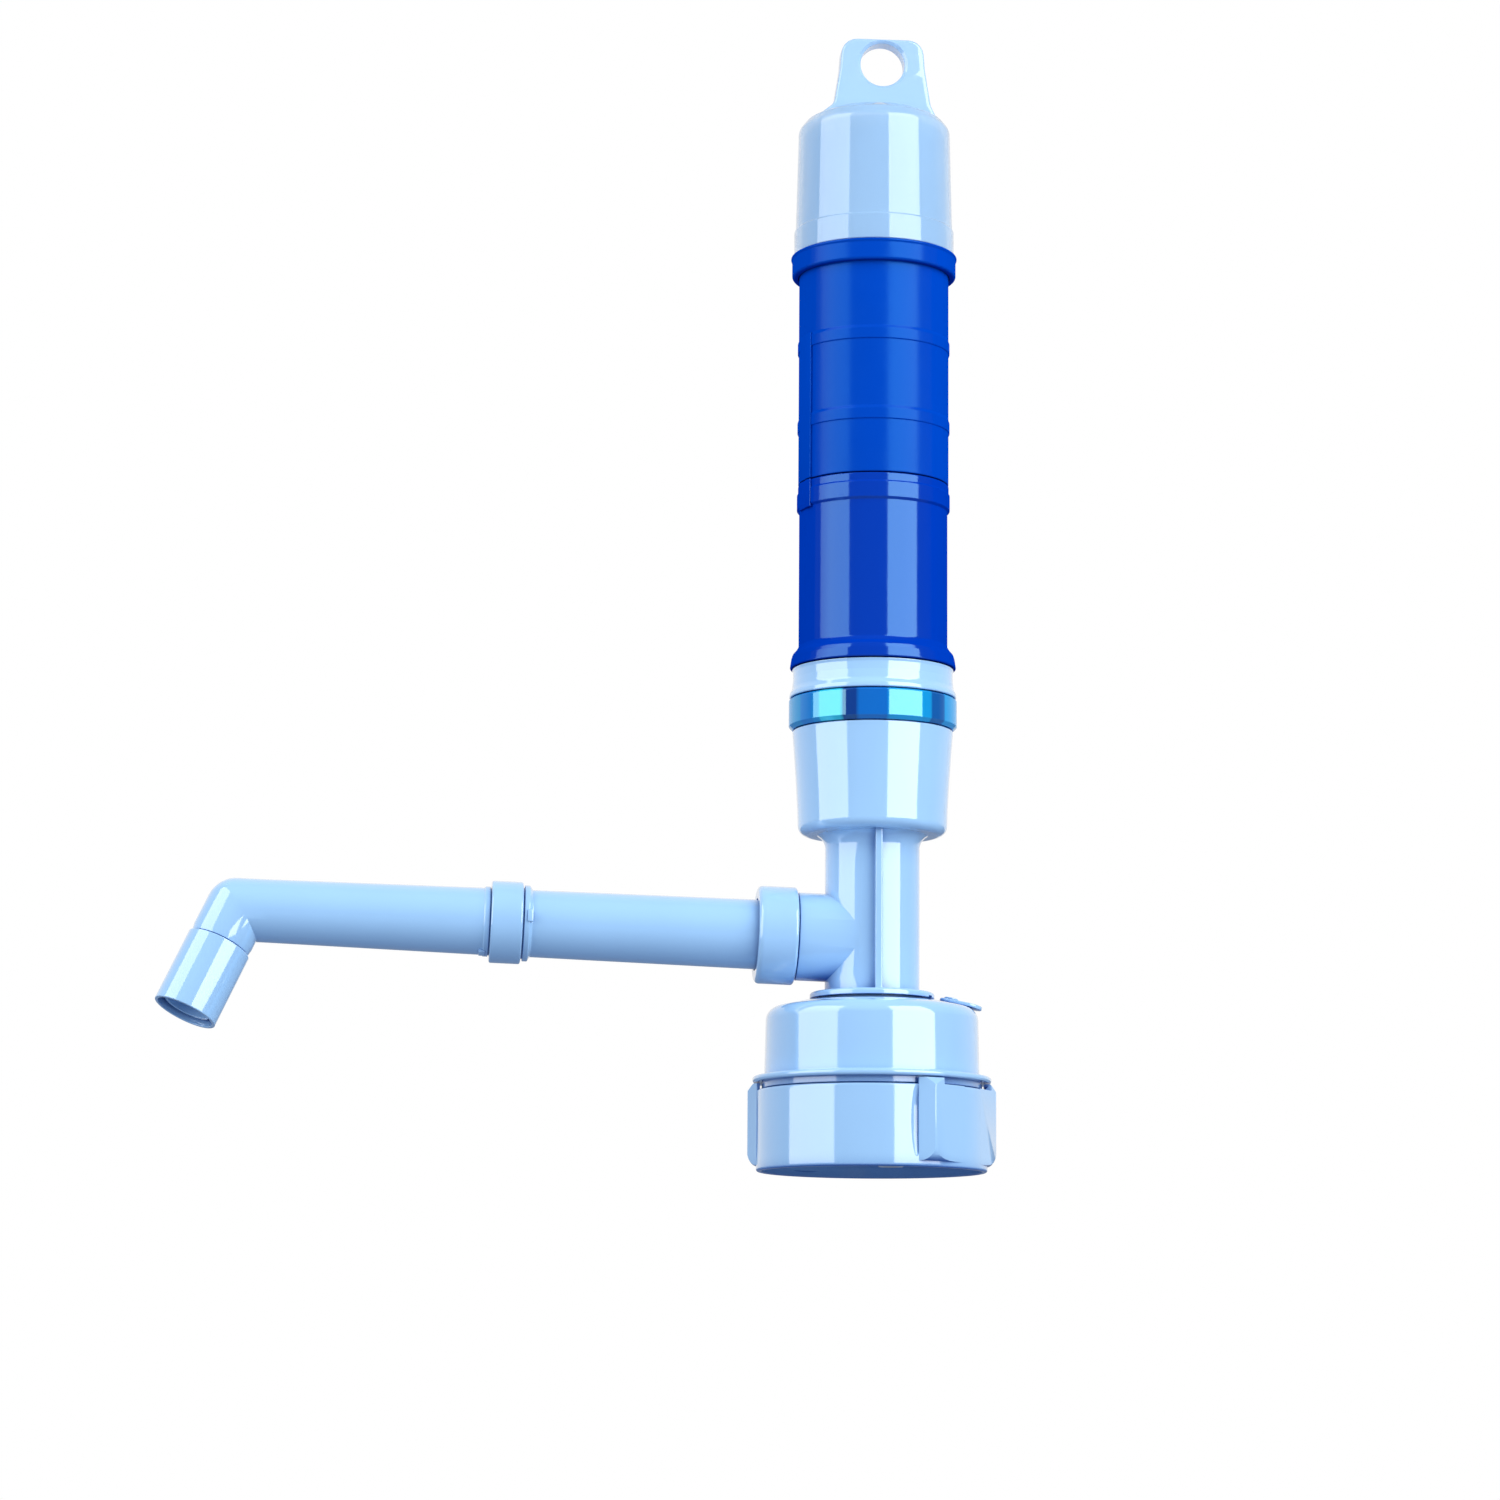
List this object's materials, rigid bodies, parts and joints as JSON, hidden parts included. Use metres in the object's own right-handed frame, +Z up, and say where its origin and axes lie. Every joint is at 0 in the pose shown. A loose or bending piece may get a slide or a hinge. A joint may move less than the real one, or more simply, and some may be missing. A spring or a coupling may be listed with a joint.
{
  "type": "electric water jug pump",
  "caption": "Battery pump with a screw ring for a jug's neck, a turning column with a swivel spout and drooping nozzle, a two-part battery barrel and a lift-off cap with a hanging loop.",
  "frame": {"origin": "centre of the screw ring's bottom rim, on the stem axis, where the jug's neck enters", "axes": "+Z up along the stem to the hanging loop; the spout points along -X; the front rib faces -Y"},
  "size_m": [0.2231, 0.0638, 0.312],
  "materials": {
    "pale_blue": "glossy pale blue moulded plastic",
    "cobalt_gloss": "glossy cobalt blue moulded plastic",
    "cobalt_satin": "satin cobalt blue moulded plastic",
    "clear_cyan": "clear tinted acrylic, cyan blue",
    "frosted_blue": "translucent pale blue plastic",
    "black_rubber": "matt black rubber",
    "white_plastic": "matt white plastic",
    "grey_plastic": "matt grey plastic",
    "steel": "plain steel",
    "brass": "plain brass",
    "magnet": "sintered ferrite",
    "copper": "enamelled copper winding",
    "cell_jacket": "plain jacketed cell, with no print",
    "board_green": "green circuit board",
    "lamp_clear": "clear lamp resin"
  },
  "bodies": {
    "collar": {"screw_ring": "pale_blue"},
    "jug_cap": {"cap_dome": "pale_blue", "neck_gasket": "black_rubber", "vent_pin": "pale_blue", "vent_clip": "steel"},
    "vent": {"vent_lever": "pale_blue"},
    "pump_column": {"pump_housing": "pale_blue", "pump_chamber": "white_plastic", "chamber_gasket": "black_rubber", "chamber_cover": "white_plastic", "chamber_screw_1": "steel", "chamber_screw_2": "steel", "chamber_screw_3": "steel", "shaft_seal": "black_rubber", "motor_holder": "grey_plastic", "motor_can": "steel", "motor_magnet": "magnet", "motor_end_bell": "white_plastic", "motor_terminal_plus": "brass", "motor_terminal_minus": "brass", "led_board": "board_green", "led_1": "lamp_clear", "led_2": "lamp_clear", "led_3": "lamp_clear", "glow_ring": "clear_cyan", "motor_collar": "pale_blue", "battery_tube": "cobalt_gloss", "sleeve_oring": "black_rubber", "battery_contact_bottom": "brass", "battery_spring": "steel", "battery_lower": "cell_jacket", "battery_upper": "cell_jacket"},
    "rotor": {"drive_shaft": "steel", "shaft_coupler": "white_plastic", "motor_shaft": "steel", "armature": "copper", "impeller": "black_rubber"},
    "barrel_sleeve": {"battery_sleeve": "cobalt_satin", "sleeve_collar": "cobalt_satin", "switch_tower": "frosted_blue", "battery_contact_top": "brass", "switch_body": "grey_plastic", "button_spring": "steel"},
    "cap": {"top_cap": "frosted_blue"},
    "button": {"push_button": "cobalt_gloss"},
    "spout_nut": {"union_nut": "pale_blue"},
    "spout_inner": {"spout_tube_inner": "pale_blue", "union_seal": "black_rubber"},
    "spout_ring": {"coupling_ring": "pale_blue"},
    "spout_outer": {"spout_tube_outer": "pale_blue", "nozzle_liner": "pale_blue"},
    "nozzle": {"nozzle_sleeve": "pale_blue"}
  },
  "joints": [
    {"name": "cap_turn", "type": "hinge", "parent": "collar", "child": "jug_cap", "pos_m": [0, 0, 0.02], "axis": [0, 0, 1], "continuous": true},
    {"name": "vent_lever_turn", "type": "hinge", "parent": "jug_cap", "child": "vent", "pos_m": [0.0211, 0, 0.04527], "axis": [0.2169, 0, 0.9762], "range_deg": [0, 75]},
    {"name": "column_turn", "type": "hinge", "parent": "jug_cap", "child": "pump_column", "pos_m": [0, 0, 0.04], "axis": [0, 0, 1], "continuous": true},
    {"name": "rotor_spin", "type": "hinge", "parent": "pump_column", "child": "rotor", "pos_m": [0, 0, 0.1], "axis": [0, 0, 1], "continuous": true},
    {"name": "sleeve_turn", "type": "hinge", "parent": "pump_column", "child": "barrel_sleeve", "pos_m": [0, 0, 0.19], "axis": [0, 0, 1], "range_deg": [-25, 0]},
    {"name": "cap_lift", "type": "slide", "parent": "barrel_sleeve", "child": "cap", "axis": [0, 0, 1], "range_m": [0, 0.04]},
    {"name": "button_press", "type": "slide", "parent": "barrel_sleeve", "child": "button", "axis": [0, 0, -1], "range_m": [0, 0.0025], "stiffness_N_per_m": 300, "springref_m": -0.002, "deforming": ["button_spring"]},
    {"name": "union_nut_turn", "type": "hinge", "parent": "pump_column", "child": "spout_nut", "pos_m": [0, 0, 0.0621], "axis": [-0.9995, 0, 0.0314], "continuous": true},
    {"name": "spout_turn", "type": "hinge", "parent": "pump_column", "child": "spout_inner", "pos_m": [0, 0, 0.0621], "axis": [-0.9995, 0, 0.0314], "continuous": true},
    {"name": "coupling_ring_turn", "type": "hinge", "parent": "spout_inner", "child": "spout_ring", "pos_m": [0, 0, 0.0621], "axis": [-0.9995, 0, 0.0314], "continuous": true},
    {"name": "outer_spout_turn", "type": "hinge", "parent": "spout_inner", "child": "spout_outer", "pos_m": [0, 0, 0.0621], "axis": [-0.9995, 0, 0.0314], "continuous": true},
    {"name": "nozzle_turn", "type": "hinge", "parent": "spout_outer", "child": "nozzle", "pos_m": [-0.16942, 0, 0.06742], "axis": [-0.4078, -0.1829, -0.8946], "continuous": true}
  ]
}
